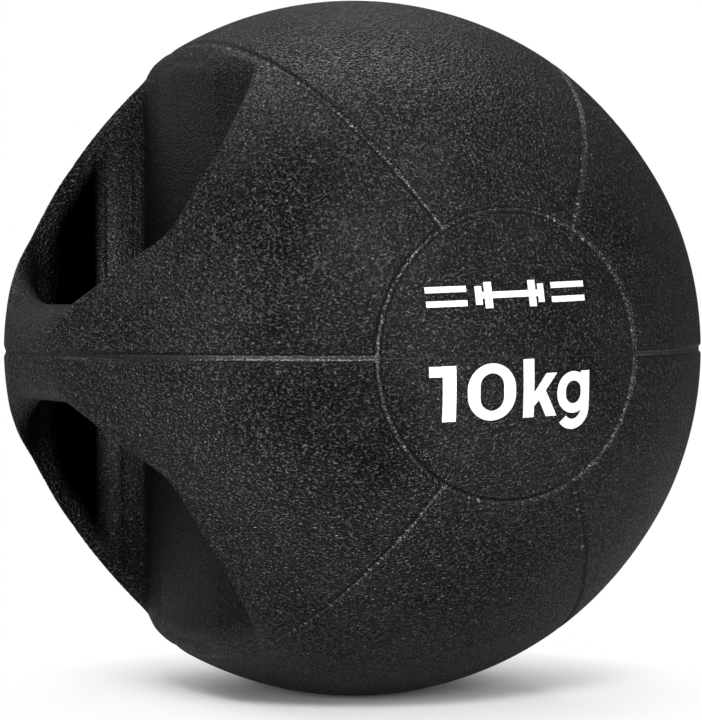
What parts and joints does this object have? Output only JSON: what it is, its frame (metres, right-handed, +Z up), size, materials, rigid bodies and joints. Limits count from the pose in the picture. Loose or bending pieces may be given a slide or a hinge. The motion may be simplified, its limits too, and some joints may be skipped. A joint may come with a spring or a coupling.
{
  "type": "medicine ball",
  "caption": "Black grained rubber medicine ball with a moulded hand grip on each side, ring and slanting grooves, a printed weight on the front disc and an air valve on the back.",
  "frame": {"origin": "centre of the ball", "axes": "+Z up, square to the mould's parting plane; the printed disc faces -Y; the grips stand on -X and +X"},
  "size_m": [0.2848, 0.2805, 0.2792],
  "materials": {
    "grained_rubber": "satin, fine leather grain",
    "cushion_gum": "matte",
    "dense_rubber": "matte",
    "butyl_rubber": "satin",
    "white_print": "matte ink"
  },
  "bodies": {
    "root": {"upper_cover": "grained_rubber", "lower_cover": "grained_rubber", "seam_bond": "cushion_gum", "upper_ballast": "dense_rubber", "lower_ballast": "dense_rubber", "air_bladder": "butyl_rubber", "valve_stem": "butyl_rubber", "valve_plug": "cushion_gum", "weight_figures": "white_print", "plain_mark": "white_print"}
  },
  "joints": []
}
